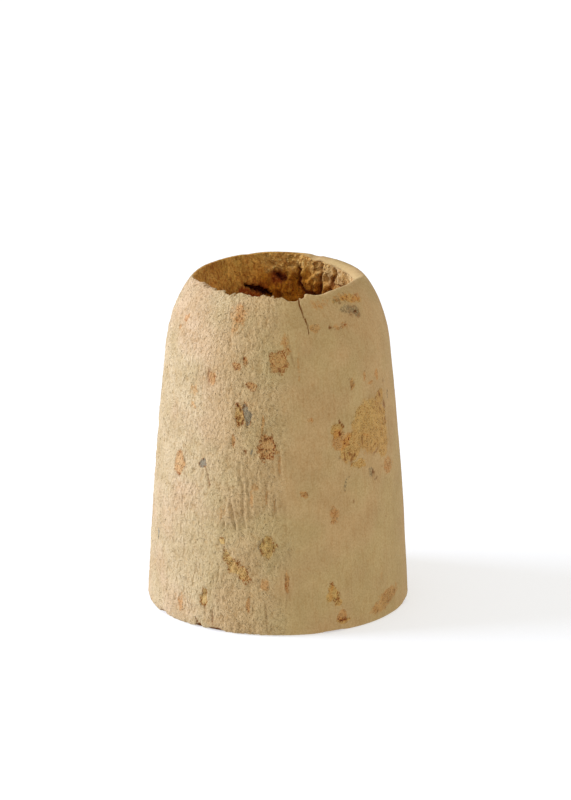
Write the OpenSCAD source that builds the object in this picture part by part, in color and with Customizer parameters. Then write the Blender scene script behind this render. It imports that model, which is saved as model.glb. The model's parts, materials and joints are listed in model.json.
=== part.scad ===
// Hollow cork stopper: one piece of natural cork, tapered, with a rounded shoulder and a bored hollow
// in its narrow end. It stands on its wide end, the axis is Z and the base lies on z = 0.
// Sizes are millimetres. Angles run round the axis from the front, -Y, towards +X.

/* [Body] */
// Diameter across the base
base_d = 45; // [41:0.5:56]
// Height from the base to the rim
height = 57.5; // [48:0.5:72]
// Diameter that the sides would reach at the top with no shoulder
top_d = 35.4; // [32:0.2:42]
// How far the sides belly out of a straight taper
belly = 0.6; // [0:0.1:1.2]
// Rounding where the sides meet the base
base_edge_r = 0.8; // [0.3:0.1:2]

/* [Shoulder] */
// Height over which the sides round in to the rim
shoulder_drop = 11.5; // [8:0.5:15]
// Fullness of the shoulder, from nearly a bevel to nearly a square corner
shoulder_fullness = 1.7; // [1.3:0.1:2.6]

/* [Hollow] */
// Diameter of the mouth at the rim
mouth_d = 26; // [23:0.5:28]
// Diameter of the straight bore below the mouth
bore_d = 25; // [18:0.5:26]
// Depth of the hollow below the rim
hollow_depth = 36; // [22:0.5:42]
// Depth over which the mouth narrows to the bore
mouth_drop = 9; // [4:0.5:12]
// Rounding of the rim's inner lip
lip_r = 0.5; // [0.2:0.1:0.8]
// Rounding between the bore and its floor
floor_r = 3; // [1:0.5:6]

/* [Gouge marks in the hollow] */
// Length of a gouge mark, down the wall
gouge_length = 9; // [5:0.5:11]
// Half the width of a gouge mark
gouge_r = 1.8; // [1:0.1:2.2]
// Depth of a gouge mark in the wall
gouge_cut = 1.1; // [0.4:0.1:1.3]
// Depth below the rim of the middle of the gouge marks
gouge_drop = 5.6; // [5:0.1:8]
// Length of the worm slot in the back wall
slot_length = 5.4; // [3:0.1:7]
// Half the width of the worm slot
slot_r = 0.5; // [0.3:0.1:0.8]
// Depth of the worm slot in the wall
slot_cut = 2; // [0.5:0.1:2.5]
// Depth below the rim of the worm slot
slot_drop = 6.7; // [6:0.1:10]

/* [Crack] */
// How far the crack runs down from the rim
crack_drop = 6; // [3:0.5:9]
// Width of the crack at the rim
crack_width = 0.3; // [0.2:0.05:0.6]
// Depth of the crack, measured in from the chord of the shoulder it runs down
crack_depth = 1.5; // [0.5:0.1:2]
// Angle of the crack's lower end round the axis
crack_angle = 17; // [0:1:40]

/* [Hidden] */

base_r = base_d / 2;
top_r = top_d / 2;
mouth_r = mouth_d / 2;
bore_r = bore_d / 2;
crest_r = mouth_r + lip_r;
shoulder_z = height - shoulder_drop;
floor_z = height - hollow_depth;
side_steps = 8;
shoulder_steps = 16;
arc_steps = 6;
curve_fn = 48;
past = 1; // how far a cut runs past the surface that it opens

// Chips out of the rim: [angle, radius]
rim_chips = [[-62, 0.8], [-35, 0.7], [-3, 0.6], [4, 0.8], [10, 1.4], [150, 0.7]];
// Chips out of the bottom edge: [angle, radius]
base_chips = [[-62, 0.8], [-38, 0.7], [-29, 0.9]];
// Gouge marks in the hollow's wall: angles
gouge_angles = [117, 127, 137, 148, 164, 180];
// Angle of the worm slot's middle, and its slope
slot_angle = 196;
slot_slope = 24;
// Lenticel pits in the sides: [angle, height as a share of the whole, width, depth]
pits = [
    [-36, 0.76, 1.6, 0.5],
    [-24, 0.94, 2.6, 0.3],
    [1, 0.83, 2.8, 0.3],
    [-19, 0.675, 2.4, 0.4],
    [-5, 0.565, 2.4, 0.3],
    [-4, 0.275, 2.6, 0.4],
    [-23, 0.24, 1.6, 0.4],
    [-19, 0.207, 1.8, 0.4],
    [-15, 0.175, 1.6, 0.4],
    [-35, 0.095, 2.2, 0.5],
    [31, 0.615, 2.4, 0.4],
    [37, 0.53, 2.8, 0.3],
    [51, 0.94, 1.6, 0.4],
    [26, 0.12, 2, 0.3],
];
// Furrows down the rough side: [angle, middle as a share of the height, length]
furrows = [[-22, 0.42, 6], [-16, 0.44, 9], [-11, 0.45, 8], [-4, 0.43, 7], [5, 0.2, 9], [-50, 0.4, 9]];
furrow_r = 0.5;
furrow_cut = 0.25;

// Radius of the plain tapered side at height z
function side_r(z) = let (t = z / height) base_r + (top_r - base_r) * t + 4 * belly * t * (1 - t);

// Share of the shoulder's drop, and of its run inwards, at an angle from 0 at its foot to 90 at its crest
function shoulder_rise(a) = pow(sin(a), 2 / shoulder_fullness);
function shoulder_run(a) = 1 - pow(cos(a), 2 / shoulder_fullness);

// Radius of the shoulder at that angle: the side's own radius, drawn in to the crest
function shoulder_r(a) =
    side_r(shoulder_z + shoulder_drop * shoulder_rise(a))
    - (side_r(height) - crest_r) * shoulder_run(a);

// Radius of the outside at height z, shoulder included
function body_r(z) =
    z <= shoulder_z ? side_r(z)
    : shoulder_r(asin(pow(min(1, (z - shoulder_z) / shoulder_drop), shoulder_fullness / 2)));

// Points on an arc about [x, z], from angle a to angle b
function arc(x, z, r, a, b) =
    [for (i = [0:arc_steps]) let (t = a + (b - a) * i / arc_steps) [x + r * cos(t), z + r * sin(t)]];

// Half of the stopper's section, from the base's edge up over the rim and down to the hollow's floor
function section() = concat(
    arc(side_r(base_edge_r) - base_edge_r, base_edge_r, base_edge_r, -90, 0),
    [for (i = [1:side_steps])
        let (z = base_edge_r + (shoulder_z - base_edge_r) * i / side_steps) [side_r(z), z]],
    [for (i = [1:shoulder_steps - 1])
        let (a = 90 * i / shoulder_steps)
        [shoulder_r(a), shoulder_z + shoulder_drop * shoulder_rise(a)]],
    arc(crest_r, height - lip_r, lip_r, 90, 180),
    [[bore_r, height - mouth_drop]],
    arc(bore_r - floor_r, floor_z + floor_r, floor_r, 0, -90),
    [[0, floor_z], [0, 0]]
);

// Children are placed at an angle round the axis, at radius r and height z
module place(angle, r, z) {
    rotate([0, 0, angle]) translate([0, -r, z]) children();
}

// A spindle along Z: pointed at both ends, with radius r in its middle
module spindle(length, r) {
    curve = (r * r + length * length / 4) / (2 * r);
    rotate_extrude($fn = curve_fn)
        intersection() {
            translate([r - curve, 0]) circle(curve, $fn = 4 * curve_fn);
            translate([0, -length / 2]) square([r, length]);
        }
}

// A ball that leaves a dimple of this width and depth in the outside
module dimple(angle, z, width, depth) {
    ball = (width * width / 4 + depth * depth) / (2 * depth);
    place(angle, body_r(z) + ball - depth, z) sphere(ball, $fn = curve_fn);
}

// The crack as a thin ribbon that lies along the shoulder's chord, and narrows to nothing at its lower end
module crack() {
    half = crack_width / 2;
    run = body_r(height - crack_drop) - crest_r;
    chord = sqrt(run * run + crack_drop * crack_drop);
    lean = chord / 6;
    outside = run + past;
    place(crack_angle, crest_r, height)
        rotate([-90 - atan2(run, crack_drop), 0, 0])
            translate([0, 0, -outside])
                linear_extrude(height = outside + crack_depth)
                    polygon([
                        [-lean - half, -past],
                        [-lean + half, -past],
                        [half - lean / 2, chord / 2],
                        [0, chord],
                        [-half - lean / 2, chord / 2],
                    ]);
}

// The hollow's radius at a depth below the rim
function hollow_r(drop) = bore_r + (mouth_r - bore_r) * max(0, 1 - drop / mouth_drop);

module gouge_marks() {
    for (angle = gouge_angles)
        place(angle, hollow_r(gouge_drop) + gouge_cut - gouge_r, height - gouge_drop)
            spindle(gouge_length, gouge_r);
}

// A slot with round ends, cut straight into the hollow's wall
module worm_slot() {
    straight = slot_length - 2 * slot_r;
    place(slot_angle, hollow_r(slot_drop) - past, height - slot_drop)
        rotate([90, slot_slope, 0])
            linear_extrude(height = past + slot_cut) {
                square([straight, 2 * slot_r], center = true);
                for (side = [-1, 1])
                    translate([side * straight / 2, 0]) circle(slot_r, $fn = curve_fn);
            }
}

module edge_chips() {
    for (chip = rim_chips)
        place(chip[0], crest_r, height + chip[1] / 3) sphere(chip[1], $fn = curve_fn);
    for (chip = base_chips)
        place(chip[0], base_r + chip[1] / 4, -chip[1] / 4) sphere(chip[1], $fn = curve_fn);
}

module side_marks() {
    for (pit = pits)
        dimple(pit[0], pit[1] * height, pit[2], pit[3]);
    for (furrow = furrows)
        place(furrow[0], body_r(furrow[1] * height) + furrow_r - furrow_cut, furrow[1] * height)
            spindle(furrow[2], furrow_r);
}

module stopper() {
    color("burlywood")
        difference() {
            rotate_extrude($fn = 4 * curve_fn) polygon(section());
            gouge_marks();
            worm_slot();
            edge_chips();
            side_marks();
            crack();
        }
}

stopper();
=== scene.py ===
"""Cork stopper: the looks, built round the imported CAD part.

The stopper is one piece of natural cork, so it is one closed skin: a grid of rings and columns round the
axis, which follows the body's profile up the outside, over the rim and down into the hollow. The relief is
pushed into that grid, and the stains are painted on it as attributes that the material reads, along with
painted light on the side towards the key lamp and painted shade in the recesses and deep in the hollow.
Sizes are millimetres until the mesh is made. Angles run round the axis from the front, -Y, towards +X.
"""

import itertools
import json
import math
import random

import bpy
import numpy as np
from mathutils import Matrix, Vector


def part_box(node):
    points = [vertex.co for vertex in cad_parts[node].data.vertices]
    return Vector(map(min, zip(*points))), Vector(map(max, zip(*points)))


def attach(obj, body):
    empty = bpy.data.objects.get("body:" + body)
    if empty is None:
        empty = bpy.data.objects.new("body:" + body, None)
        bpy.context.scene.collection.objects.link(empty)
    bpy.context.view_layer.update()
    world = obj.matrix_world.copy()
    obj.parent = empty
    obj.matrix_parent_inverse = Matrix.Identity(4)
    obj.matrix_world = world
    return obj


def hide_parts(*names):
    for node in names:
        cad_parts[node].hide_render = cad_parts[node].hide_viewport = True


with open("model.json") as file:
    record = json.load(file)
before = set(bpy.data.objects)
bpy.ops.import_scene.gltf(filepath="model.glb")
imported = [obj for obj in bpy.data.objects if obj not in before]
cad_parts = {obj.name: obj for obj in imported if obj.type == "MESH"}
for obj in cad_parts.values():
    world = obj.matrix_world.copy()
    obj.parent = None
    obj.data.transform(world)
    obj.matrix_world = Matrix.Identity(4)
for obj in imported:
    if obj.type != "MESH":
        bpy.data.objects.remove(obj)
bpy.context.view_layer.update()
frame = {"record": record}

# ---- Sizes: the first ones come from the frame, and the others shape the profile between them

MM = 0.001
low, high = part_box("stopper")
hollow = next(m for m in frame["record"]["mounts"] if m["name"] == "hollow")

SKIN = 0.12                                     # how far the skin's mean lies inside the CAD surface
HEIGHT = high.z / MM - 0.03
BASE_R = (high.x - low.x) / 2 / MM - SKIN
BORE_R = hollow["dims"]["r_mm"]
BORE_TOP = hollow["pos_m"][2] / MM
FLOOR_FILLET = 3.0
FLOOR_Z = BORE_TOP - hollow["dims"]["length_mm"] - FLOOR_FILLET

TAPER = 4.7                                     # how much smaller the radius would be at the very top
BELLY = 0.6                                     # how far the side bulges beyond a straight cone
SHOULDER_DROP = 11.5                            # height of the shoulder
SHOULDER_FULLNESS = 1.7                         # exponent of its superellipse
CREST_R = 13.4                                  # radius where it ends and the rim begins
BASE_EDGE_R = 0.6
MOUTH_R = 13.05                                 # radius of the hollow at its edge
MOUTH_SHIFT = 0.15                              # the mouth's centre lies this far towards -X
LIP_DEPTH = (0.2, 0.70)                         # depth of the rim's rounding on its sharp and its full side
LEFT_DROP, BACK_DROP, SIDE_DROP = 0.22, 0.22, 0.98      # how much lower the rim is there than at the front

COLUMNS = 480                                   # columns of the fine grid
DENSE_FROM, DENSE_TO, DENSITY = -100, 26, 2.0   # degrees where columns are closer together, and how much
ROW = 0.42                                      # height of a row on the side
BASE_ROWS = (1.2, 0.7, 0.3)                     # how far in from the base's rounded edge its fine rows lie
LIP_ROWS = 5                                    # rows over the rim
INNER_ROWS, INNER_BELOW = 36, 3.5               # fine rows in the hollow, and how far below BORE_TOP they end
COARSE = 4                                      # fine columns to one column where nothing small shows
WALL_ROWS = 18                                  # coarse rings on the rest of the hollow's wall
COARSE_GAP = 1.1                                # from the last fine row to the first coarse ring

# Where each stretch lies in the baked maps. The skin and the wall are strips as wide as the map.
SKIN_V = (0.005, 0.505)
SHOWN_WALL_V = (0.515, 0.620)
LOW_WALL_U, LOW_WALL_V = (0.01, 0.59), (0.64, 0.83)
BASE_DISC = ((0.81, 0.81), 0.18)                # centre and radius
FLOOR_DISC = ((0.12, 0.92), 0.07)


def ramp(x, start, end):
    """0 before start, 1 after end, and a smooth rise between them. It falls if end is before start."""
    t = np.clip((x - start) / (end - start), 0, 1)
    return t * t * (3 - 2 * t)


def side_r(z):
    t = z / HEIGHT
    return BASE_R - TAPER * t + 4 * BELLY * t * (1 - t)


def body_r(z):
    """Radius of the outside at a height: the side, and above it the shoulder's superellipse."""
    up = np.clip((z - HEIGHT + SHOULDER_DROP) / SHOULDER_DROP, 0, 1)
    inward = 1 - (1 - up ** SHOULDER_FULLNESS) ** (1 / SHOULDER_FULLNESS)
    return side_r(z) - (side_r(HEIGHT) - CREST_R) * inward


def bore_r(z):
    """Radius of the hollow at a height: straight below, and slightly wider towards the mouth."""
    return BORE_R + (MOUTH_R - BORE_R) * ramp(z, BORE_TOP, HEIGHT)


# The outside's arc length up to each height, to place things on the shoulder by height
PROFILE_Z = np.linspace(0, HEIGHT, 2000)
PROFILE_S = np.concatenate(
    [[0], np.cumsum(np.hypot(np.diff(body_r(PROFILE_Z)), np.diff(PROFILE_Z)))]
)


# ---- Noise, the same on every run

def scramble(cell, seed):
    """A repeatable number from 0 to 1 for each whole-number cell."""
    x, y, z = (cell[..., k].astype(np.int64).astype(np.uint32) for k in range(3))
    h = x * np.uint32(374761393) + y * np.uint32(668265263) + z * np.uint32(2246822519)
    h = h + np.uint32(seed * 40503 + 977)
    for shift in (15, 13, 16):
        h = (h ^ (h >> np.uint32(shift))) * np.uint32(3266489917)
    return (h ^ (h >> np.uint32(15))) / 4294967295.0


def noise(points, size, seed):
    """Smooth noise of about -1 to 1. size is how far apart its humps are, one number or one per axis."""
    scaled = points / np.asarray(size, float)
    cell = np.floor(scaled)
    t = scaled - cell
    fade = t * t * t * (t * (6 * t - 15) + 10)
    total = np.zeros(points.shape[:-1])
    for corner in itertools.product((0, 1), repeat=3):
        here = cell + corner
        slope = np.stack([2 * scramble(here, 3 * seed + k) - 1 for k in range(3)], -1)
        weight = np.prod(np.where(np.array(corner) == 1, fade, 1 - fade), -1)
        total += weight * np.sum(slope * (t - corner), -1)
    return total * 1.7


# ---- Marks on the cork: each place is an angle in degrees and a height, and other numbers are millimetres

# Notches in the rim: angle, half width in degrees, depth
RIM_NOTCHES = [
    (9.5, 6, 0.75), (17.5, 2.6, 0.4), (-2, 1.0, 0.3), (1, 3.5, 0.25), (-6, 4, 0.15), (-61.6, 1.4, 0.4),
    (-37, 4, 0.3), (-31, 1.6, 0.3), (-47, 4, 0.15), (-17, 6, 0.2), (31, 8, 0.35), (42, 5, 0.1),
    (152, 4, 0.25), (200, 6, 0.15), (-110, 3, 0.2), (-57, 1.5, 0.3),
]
# Chips at the base's edge: angle, half width, height, depth
BASE_CHIPS = [
    (-62, 1.0, 0.25, 0.35), (-37.6, 0.7, 0.5, 0.45), (-28.5, 1.6, 0.25, 0.45), (25, 2.0, 0.2, 0.2),
    (78, 1.2, 0.4, 0.5), (131, 1.5, 0.5, 0.6), (196, 1.1, 0.7, 0.7), (-128, 1.6, 0.4, 0.5),
]
# Patches: angle, height, width, height, tilt in degrees (its top leans to +X), recess
PINK_PATCHES = [
    (0, 47.4, 2.7, 3.6, 0, 0.10), (4.5, 50, 1.5, 4.0, -8, 0.03), (-24, 54.2, 3.0, 5.5, 0, 0.03),
    (-35, 43.7, 1.5, 2.2, 0, 0.12), (-13.5, 43.4, 2.2, 1.3, 8, 0.10), (-21.5, 46.2, 1.6, 1.0, 30, 0.08),
    (-17, 47.4, 0.8, 1.6, 0, 0.10), (-5.5, 32.8, 2.9, 4.4, 0, 0.12), (-7.5, 36.5, 0.5, 3.6, 4, 0.04),
    (-62, 52, 1.4, 1.3, 0, 0.06), (-66, 50.2, 1.0, 0.8, 0, 0.05), (-54, 27.5, 2.6, 4.0, 10, 0.06),
    (-46, 41, 1.8, 2.0, 0, 0.03), (-46, 38, 1.6, 1.6, 0, 0.03), (-22, 33.5, 0.7, 1.8, 0, 0.12),
    (21.8, 52.6, 1.8, 1.7, 0, 0.035), (37, 52.2, 3.4, 1.2, 0, 0.03), (27, 56, 3.4, 2.0, 0, 0.0),
    (45.5, 56.3, 4.4, 2.0, 8, 0.03), (57, 55.6, 3.2, 1.6, 0, 0.035), (12, 24.8, 1.8, 0.9, 25, 0.05),
    (26, 20.6, 1.7, 3.4, 0, 0.03), (16, 37.2, 1.1, 1.3, 20, 0.03), (56, 3.2, 8.8, 3.3, -18, 0.035),
    (-48.5, 2.8, 0.5, 2.2, 8, 0.05), (31.5, 33.2, 3.4, 3.6, 0, 0.05), (40.5, 42.3, 1.1, 2.0, 0, 0.04),
    (64, 26.2, 3.4, 3.0, 0, 0.03), (49, 43.2, 0.8, 1.7, 0, 0.04), (60, 42.5, 1.1, 2.2, 5, 0.05),
    (53, 41.6, 1.5, 0.7, -20, 0.04), (-0.5, 32, 0.5, 1.6, 0, 0.03), (-10.8, 26.0, 1.3, 1.8, 0, 0.02),
    (-12.7, 23.6, 0.7, 3.4, 0, 0.02), (-5.3, 24.4, 0.5, 3.4, 0, 0.02), (-1.6, 23.0, 0.4, 2.4, 0, 0.02),
    (0.7, 30.4, 0.5, 4.6, 0, 0.02), (-13.2, 5.4, 0.8, 2.8, 0, 0.06), (-6, 9, 1.6, 1.8, 0, 0.04),
    (4, 9.5, 0.7, 4.0, 0, 0.06), (53, 8, 0.8, 2.4, 0, 0.02), (-48, 3.5, 1.4, 3.2, 0, 0.03),
    (-27, 21, 1.6, 3.6, 20, 0.02), (24.5, 7.4, 0.9, 3.6, 10, 0.03), (29, 2.6, 1.8, 1.6, 0, 0.05),
    (10.5, 47, 0.6, 7.0, 0, 0.0), (47, 33, 2.0, 1.6, 0, 0.0),
]
OCHRE_PATCHES = [
    (-4.7, 15.5, 2.6, 3.6, 0, 0.18), (-19.2, 11.9, 1.9, 6.6, -44, 0.20), (-35, 5.5, 1.5, 3.2, 0, 0.22),
    (50, 56.0, 3.4, 1.5, 0, 0.04), (-19.5, 38.3, 1.4, 3.6, -8, 0.15), (30, 35, 2.5, 2.6, 20, 0.05),
    (37, 31.5, 4.4, 4.8, 0, 0.05), (50, 34.5, 7.5, 9.0, 0, 0.05), (60, 33, 4.6, 10.0, 0, 0.04),
    (60, 38.6, 3.0, 2.6, -20, 0.05), (25.5, 7.0, 1.4, 3.6, -28, 0.08), (23.5, 6.4, 1.0, 1.8, 0, 0.06),
    (27.5, 5.1, 1.4, 1.0, -20, 0.08), (30, 1.9, 2.6, 1.0, 0, 0.06), (58, 55.2, 2.6, 1.2, 0, 0.03),
    (40, 56, 2.2, 0.9, 0, 0.03), (-26, 16, 1.0, 1.6, -30, 0.10), (41, 28.3, 3.6, 1.6, 0, 0.04),
]
GREY_SPOTS = [
    (-15.4, 38.2, 1.25, 3.9, -12, 0.12), (-38, 28.8, 1.3, 1.5, 0, 0.10), (-70.5, 13.5, 0.6, 2.6, 0, 0.05),
    (51, 53.9, 2.5, 2.2, 0, 0.06), (44.5, 54.5, 2.8, 1.5, 10, 0.04), (41, 56, 2.4, 1.0, 0, 0.035),
    (38, 35.7, 1.2, 0.7, 0, 0.02), (70, 38.3, 0.9, 2.6, 0, 0.03), (50, 26.1, 1.5, 2.0, 0, 0.05),
    (53, 25, 1.3, 0.9, 0, 0.03), (33, 25.4, 0.6, 2.3, 8, 0.04), (35, 26.6, 1.0, 0.5, 20, 0.03),
    (73.5, 26.3, 0.5, 2.6, 0, 0.03), (51, 31.4, 1.0, 1.1, 0, 0.0), (-12.6, 32, 0.4, 1.3, 15, 0.08),
    (-8.8, 15.9, 0.7, 2.0, 0, 0.02), (33, 32.2, 1.2, 1.4, 0, 0.0), (37.2, 22.3, 0.5, 0.8, 0, 0.03),
    (66, 41, 1.4, 1.0, 0, 0.0), (30.5, 30.6, 1.0, 1.6, 0, 0.0), (64, 24.2, 1.2, 0.9, 0, 0.0),
]
# Strokes: an angle and height at each end, width, depth, and how dark it is from 0 to 1
STROKES = [
    (13.2, 57.1, 14.4, 55.6, 0.20, 0.20, 0.95), (14.4, 55.6, 15.6, 54.2, 0.18, 0.20, 0.9),
    (15.6, 54.2, 17.0, 53, 0.20, 0.20, 1.0), (17.0, 53, 17.3, 51.8, 0.17, 0.16, 0.85),
    (-15.2, 49.0, -14.3, 50.4, 0.22, 0.14, 0.25), (-13.4, 49.4, -12.4, 50.8, 0.22, 0.14, 0.25),
    (-11.6, 50.2, -10.8, 51.2, 0.20, 0.12, 0.2), (-17.4, 48.6, -16.8, 49.8, 0.20, 0.12, 0.2),
    (5.2, 52.2, 6.6, 50, 0.22, 0.08, 0.25), (6.6, 50, 8.4, 46.4, 0.26, 0.08, 0.35),
    (17.4, 51.8, 17.8, 46, 0.20, 0.05, 0.2), (-37.2, 42.6, -38.1, 43.6, 0.42, 0.16, 0.55),
    (-38.1, 43.6, -37.5, 44.9, 0.44, 0.16, 0.6), (-20.5, 39.9, -20.2, 39.5, 0.34, 0.2, 1.0),
    (-19.2, 39.2, -19.0, 38.8, 0.26, 0.2, 0.8), (-19.4, 37.8, -19.3, 37.5, 0.35, 0.2, 0.7),
    (-17.8, 37.2, -18.1, 36.4, 0.35, 0.2, 0.6), (-15.9, 32.2, -15.4, 31.8, 0.4, 0.2, 0.8),
    (-7.9, 32.5, -7.5, 32.4, 0.3, 0.2, 0.9), (-5.9, 32.5, -5.8, 32.4, 0.24, 0.2, 0.9),
    (-4.2, 32.5, -4.1, 32.4, 0.24, 0.2, 0.8), (-6.4, 34.1, -5.9, 34.1, 0.35, 0.15, 0.7),
    (-7.6, 38.5, -7.0, 35, 0.26, 0.10, 0.15), (-36, 28, -35, 26.8, 0.26, 0.16, 0.5),
    (-35, 26.8, -33.8, 25, 0.30, 0.2, 0.6), (-50, 30, -49.6, 24.5, 0.3, 0.16, 0.45),
    (-50.2, 23.8, -50, 15, 0.25, 0.12, 0.3), (-29.4, 44.6, -29.8, 43, 0.3, 0.10, 0.2),
    (-29.4, 42.4, -29.2, 40.2, 0.3, 0.10, 0.3), (-39.2, 48, -39.6, 46.5, 0.3, 0.10, 0.3),
    (-39, 1.3, -36.6, 0.3, 0.32, 0.25, 0.9), (-29.4, 4.4, -30.6, 3.2, 0.24, 0.14, 0.4),
    (-30.6, 3.2, -29.8, 0.8, 0.24, 0.2, 0.6), (-31, 0.35, -26.4, 0.25, 0.3, 0.3, 1.0),
    (-64.5, 0.4, -60, 0.3, 0.3, 0.25, 0.8), (-40, 12.5, -34.5, 14, 0.3, 0.12, 0.3),
    (-40.2, 9.4, -38.6, 11.5, 0.28, 0.12, 0.35), (-13.4, 6.6, -13.0, 4.6, 0.30, 0.15, 0.3),
    (-5.4, 5, -4.6, 1.6, 0.3, 0.14, 0.4), (3.2, 12, 3.8, 5, 0.3, 0.12, 0.35),
    (51.0, 53.8, 51.8, 53.7, 0.55, 0.2, 1.0), (30, 52.4, 30.4, 52.2, 0.4, 0.15, 0.9),
    (30.6, 52.1, 36, 51.6, 0.28, 0.06, 0.4), (36, 51.6, 42, 52.7, 0.28, 0.05, 0.4),
    (45.5, 56.2, 46.8, 55.6, 0.35, 0.1, 0.5), (41.6, 55.7, 42.8, 55.5, 0.3, 0.1, 0.6),
    (38.8, 43.3, 39.4, 41.4, 0.3, 0.05, 0.5), (39.4, 41.4, 41.6, 42.6, 0.3, 0.05, 0.5),
    (31, 36.6, 31.6, 36.1, 0.32, 0.1, 0.9), (32.6, 35.8, 33.6, 35.3, 0.36, 0.1, 1.0),
    (31, 34.6, 31.6, 34.1, 0.36, 0.1, 1.0), (31.6, 35.3, 32.8, 34.6, 0.26, 0.08, 0.5),
    (33.4, 31, 33.6, 29.6, 0.3, 0.08, 0.7), (36, 30.6, 37.8, 30.2, 0.5, 0.08, 0.7),
    (37.2, 29.6, 39.6, 30.4, 0.4, 0.08, 0.7), (36.6, 29.2, 37, 28.4, 0.4, 0.08, 0.6),
    (44, 33, 44.8, 31.4, 0.4, 0.06, 0.6), (51.5, 29.3, 55.4, 29.8, 0.35, 0.06, 0.6),
    (60, 39.5, 61.2, 38.5, 0.5, 0.06, 0.7), (64, 37.2, 65.6, 36.2, 0.5, 0.06, 0.7),
    (64.2, 34.2, 64.6, 33.8, 0.9, 0.06, 0.5), (60, 36.7, 60.6, 36.4, 0.5, 0.06, 0.6),
    (68, 34, 68.6, 29, 0.35, 0.04, 0.35), (51, 26.3, 51.4, 26, 0.45, 0.1, 0.9),
    (52.4, 25.2, 52.8, 25, 0.35, 0.1, 0.7), (37.1, 22.6, 37.3, 22.1, 0.35, 0.1, 0.6),
    (58, 26.8, 58.4, 26.5, 0.35, 0.05, 0.5), (10.4, 24.3, 14, 25.1, 0.3, 0.05, 0.4),
    (58.6, 17.8, 59, 17.5, 0.35, 0.04, 0.5), (24.6, 8.6, 23.2, 7.2, 0.3, 0.08, 0.4),
    (23.2, 7.2, 28, 5.1, 0.3, 0.08, 0.45), (28.6, 1.9, 31.4, 1.8, 0.35, 0.12, 0.8),
    (57, 2.8, 60.5, 2.6, 0.3, 0.05, 0.4), (5.6, 49.4, 7.6, 47.6, 0.3, 0.06, 0.4),
    (3.6, 51, 4.8, 49.6, 0.3, 0.06, 0.4), (-1, 48.6, 0.6, 48.9, 0.3, 0.08, 0.4),
    (0.6, 46.2, 1.2, 45.8, 0.45, 0.1, 0.6), (-25.5, 56.2, -21.5, 56.1, 0.35, 0.1, 0.5),
    (-7.2, 16.8, -6.4, 16, 0.35, 0.1, 0.6), (-7.6, 14.8, -6.8, 14.4, 0.4, 0.1, 0.8),
    (-4, 16.9, -3, 17.1, 0.35, 0.1, 0.7), (-4.8, 15.2, -3.6, 14.8, 0.3, 0.1, 0.6),
]
# Furrows of the weathered strip: angle and height at the top, angle and height at the bottom, depth
FURROWS = [
    (-16.8, 26.8, -15.4, 19.0, 0.19), (-14.4, 27.2, -13.4, 21.0, 0.15), (-12.7, 25.2, -12.3, 20.6, 0.13),
    (-5.4, 26.4, -5.0, 22.6, 0.17), (-1.7, 24.6, -1.3, 21.4, 0.13), (-21.8, 22.4, -19.6, 18.2, 0.22),
    (-25.2, 21.4, -25.4, 18.4, 0.14), (-9.2, 29.6, -10.6, 27.2, 0.10), (-5.8, 29.6, -4.0, 27.4, 0.10),
    (0.6, 33.4, 0.9, 27.8, 0.12), (-18.2, 29.8, -17.6, 26.6, 0.10), (-8.6, 24.4, -8.4, 20.4, 0.09),
    (-23.0, 25.6, -22.4, 22.2, 0.10), (3.2, 24, 3.6, 16, 0.07), (-3.4, 20.4, -3.0, 16, 0.07),
    (5.8, 20, 5.4, 12, 0.05), (1.0, 14, 1.6, 6, 0.06), (4.8, 11, 5.4, 3.5, 0.07), (-45.5, 8, -47, 3, 0.10),
    (-51, 8.5, -52, 3.5, 0.08), (7, 44, 7.6, 38, 0.04),
]
# The hollow: lumps left between the gouges, as an angle, a height, half a width, half a height, a lean to
# wider angles for each mm upwards, and how proud they stand
LUMPS = [
    (140, 54.9, 1.15, 1.7, -0.15, 1.1), (142.3, 52.0, 0.6, 2.0, -0.15, 0.9),
    (150.5, 55.3, 0.8, 0.9, 0.2, 0.8), (147, 56.0, 0.6, 0.6, 0, 0.6), (145.5, 54.0, 0.6, 0.8, 0.3, 0.6),
    (159.3, 53.6, 0.9, 1.2, 0.1, 1.35), (154.5, 52.3, 2.0, 1.9, 0, 1.15), (150, 53.6, 0.9, 1.1, 0.2, 0.9),
    (168.3, 53.5, 0.95, 1.5, -0.4, 1.2), (172.3, 50.8, 1.6, 2.3, 0.1, 1.0),
    (167.5, 49.6, 1.0, 1.6, -0.2, 0.8), (127, 54.6, 0.8, 1.9, -0.1, 0.75), (121, 55.2, 0.7, 1.6, -0.1, 0.7),
    (114.5, 55.6, 0.8, 1.6, 0, 0.65), (184.5, 51.4, 1.3, 1.5, 0, 0.7), (183.5, 54.7, 1.1, 0.5, 0, 0.7),
    (160, 56.0, 1.2, 0.7, 0, 0.75), (168, 55.6, 1.1, 0.8, 0, 0.6), (176, 55.4, 1.2, 0.9, 0, 0.6),
]
# Clefts between them: angle and height at each end, half a width and a depth
CLEFTS = [
    (130.5, 55.2, 136, 53.2, 0.35, 0.7), (136, 53.2, 138, 51.0, 0.4, 1.0),
    (144.3, 55.8, 144.5, 54.2, 0.3, 0.7), (144.5, 54.2, 147.5, 53.2, 0.3, 0.9),
    (147.5, 53.2, 145.8, 51.9, 0.4, 1.0), (145.8, 51.9, 147, 50.3, 0.5, 1.1),
    (164.6, 54.7, 163, 53.0, 0.3, 0.9), (163, 53.0, 163.6, 52.0, 0.35, 1.1),
    (163.6, 52.0, 158.5, 50.5, 0.4, 1.1), (158.5, 50.5, 152, 50.2, 0.4, 1.0),
    (179.5, 53.4, 175.5, 52.6, 0.4, 1.0), (175.5, 52.6, 178, 51.0, 0.3, 0.8),
    (178, 51.0, 178.5, 49.3, 0.3, 0.6), (180.2, 53.5, 177.6, 52.5, 0.27, 2.0),
    (177.6, 52.5, 174, 52.9, 0.2, 0.8),
]
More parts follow.
